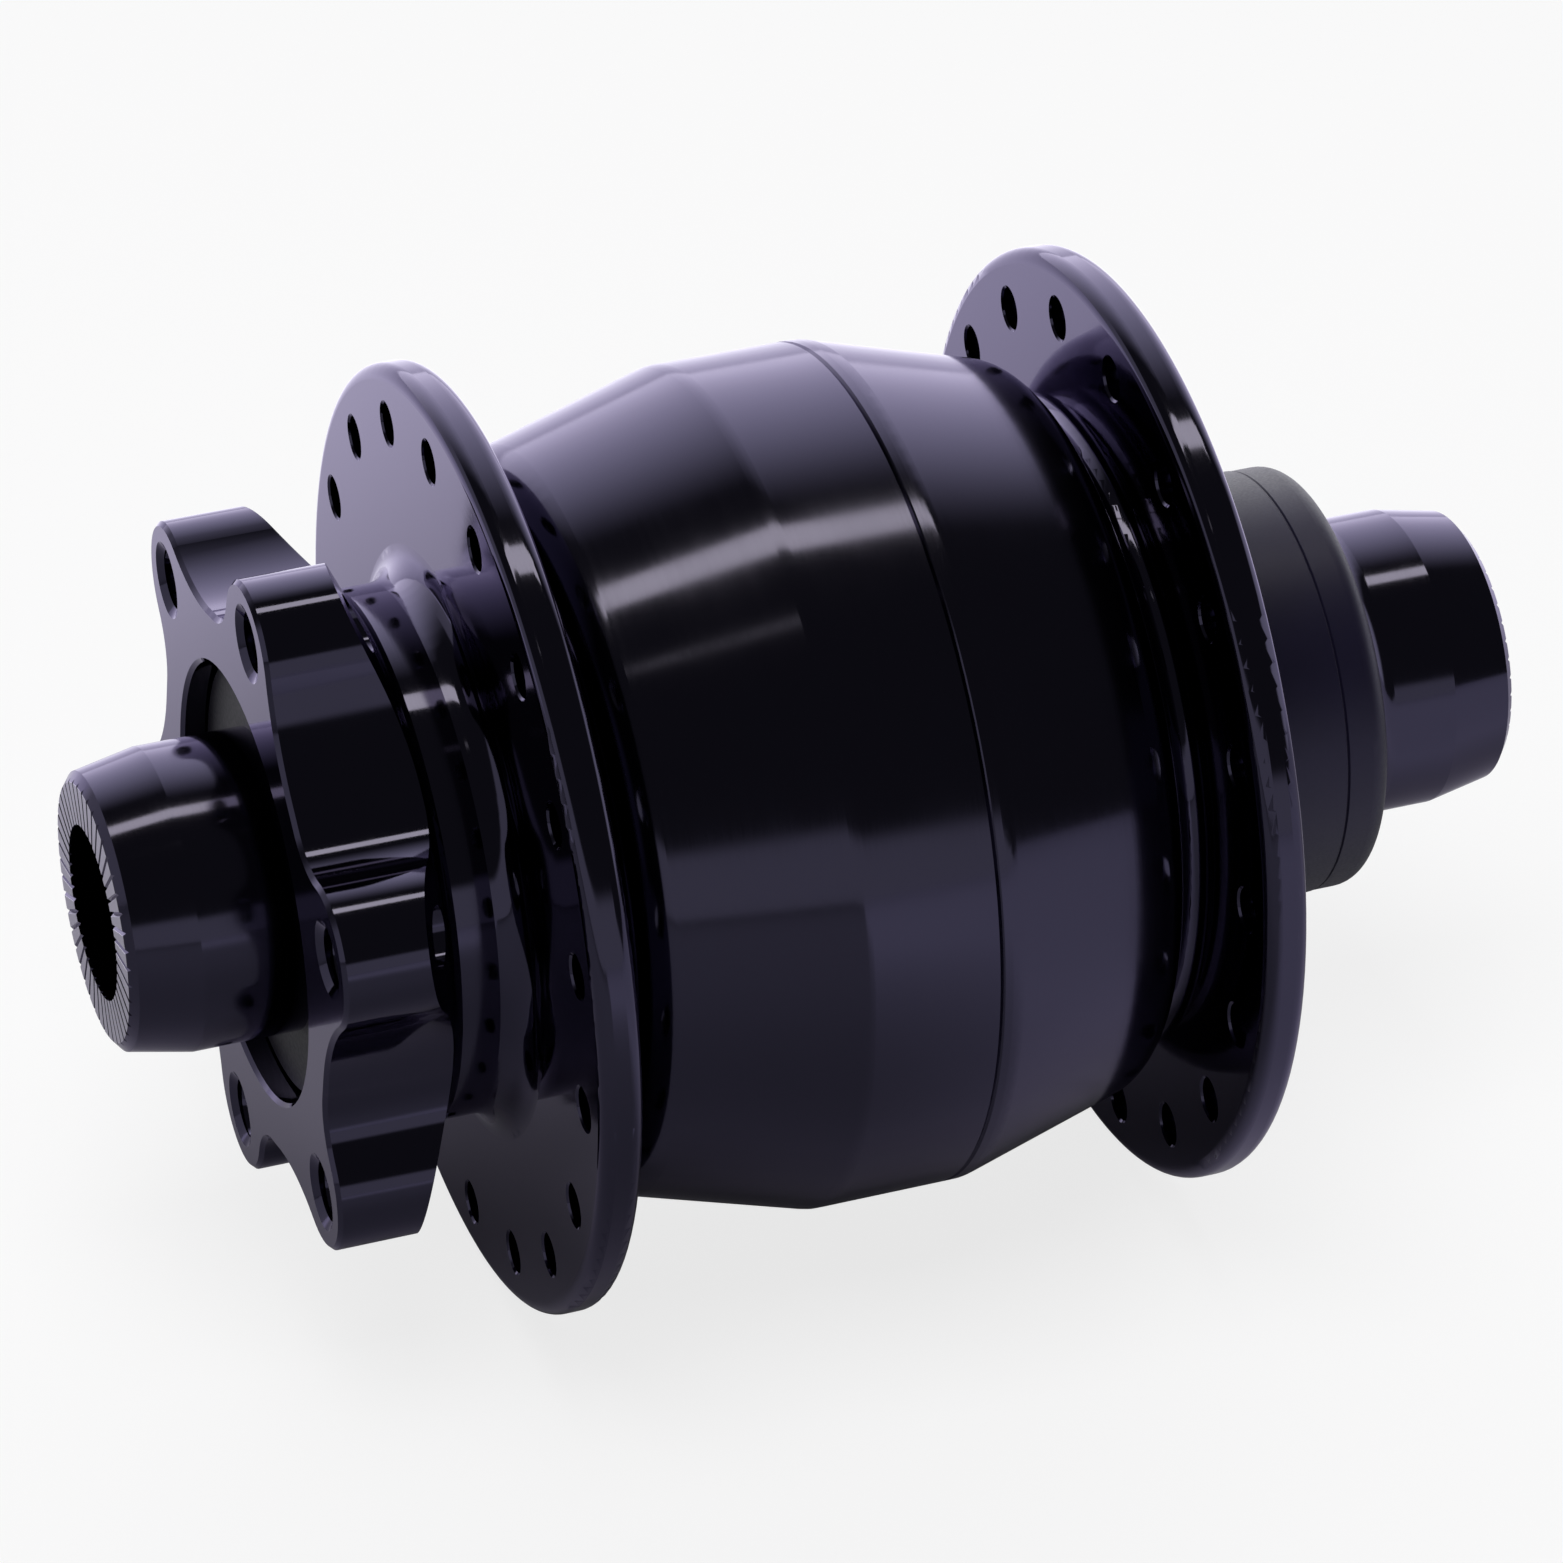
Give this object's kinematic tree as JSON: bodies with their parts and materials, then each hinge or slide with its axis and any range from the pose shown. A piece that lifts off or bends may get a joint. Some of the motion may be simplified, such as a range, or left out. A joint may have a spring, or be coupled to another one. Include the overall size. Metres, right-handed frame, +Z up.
{
  "type": "dynamo front hub",
  "caption": "Front bicycle hub with a built-in claw-pole dynamo, a six-bolt disc mount, two drilled spoke flanges, a barrel body, a plug socket and a through-axle bore.",
  "frame": {"origin": "on the hub's axis, midway between the two end faces that meet the fork", "axes": "+Y along the hub's axis to the disc side, +Z up, +X to the side that the plug socket faces"},
  "size_m": [0.066, 0.1, 0.066],
  "materials": {
    "black_shell": "gloss black anodised",
    "black_cap": "gloss black anodised, with a bare serrated end face",
    "black_plastic": "satin moulded",
    "black_rubber": "matte",
    "axle_alloy": "turned",
    "bearing_steel": "ground",
    "ball_steel": "polished",
    "cage_plastic": "moulded",
    "spring_steel": "phosphated",
    "claw_steel": "pressed",
    "yoke_steel": "turned",
    "magnet": "sintered",
    "winding_copper": "enamelled wire",
    "bobbin_plastic": "moulded",
    "lead_jacket": "silicone",
    "terminal_brass": "tinned"
  },
  "bodies": {
    "axle_unit": {"hollow_axle": "axle_alloy", "left_bearing_inner_race": "bearing_steel", "right_bearing_inner_race": "bearing_steel", "left_end_cap": "black_cap", "right_end_cap": "black_cap", "end_cap_o_rings": "black_rubber", "left_dust_shield": "black_rubber", "stator_core": "claw_steel", "left_claw_plate": "claw_steel", "right_claw_plate": "claw_steel", "coil_bobbin": "bobbin_plastic", "coil_winding": "winding_copper", "stator_washer": "bearing_steel", "stator_nut": "bearing_steel", "terminal_housing": "black_plastic", "terminal_cover": "black_plastic", "terminal_socket": "black_plastic", "terminal_blades": "terminal_brass", "coil_leads": "lead_jacket"},
    "shell": {"left_shell": "black_shell", "right_shell": "black_shell", "shell_seal_ring": "black_rubber", "magnet_yoke": "yoke_steel", "rotor_magnets": "magnet", "left_bearing_outer_race": "bearing_steel", "left_bearing_seals": "black_rubber", "left_bearing_circlip": "spring_steel", "right_bearing_outer_race": "bearing_steel", "right_bearing_seals": "black_rubber", "right_bearing_circlip": "spring_steel", "right_dust_seal": "black_rubber"},
    "left_ball_train": {"left_bearing_balls": "ball_steel", "left_bearing_cage": "cage_plastic"},
    "right_ball_train": {"right_bearing_balls": "ball_steel", "right_bearing_cage": "cage_plastic"}
  },
  "joints": [
    {"name": "shell_spin", "type": "hinge", "parent": "axle_unit", "child": "shell", "pos_m": [0, 0, 0], "axis": [0, 1, 0], "continuous": true},
    {"name": "left_ball_train_spin", "type": "hinge", "parent": "axle_unit", "child": "left_ball_train", "pos_m": [0, 0.0315, 0], "axis": [0, 1, 0], "continuous": true},
    {"name": "right_ball_train_spin", "type": "hinge", "parent": "axle_unit", "child": "right_ball_train", "pos_m": [0, -0.0203, 0], "axis": [0, 1, 0], "continuous": true}
  ],
  "couplings": [
    {"joint": "left_ball_train_spin", "follows": "shell_spin", "ratio": 0.5851},
    {"joint": "right_ball_train_spin", "follows": "shell_spin", "ratio": 0.5673}
  ]
}
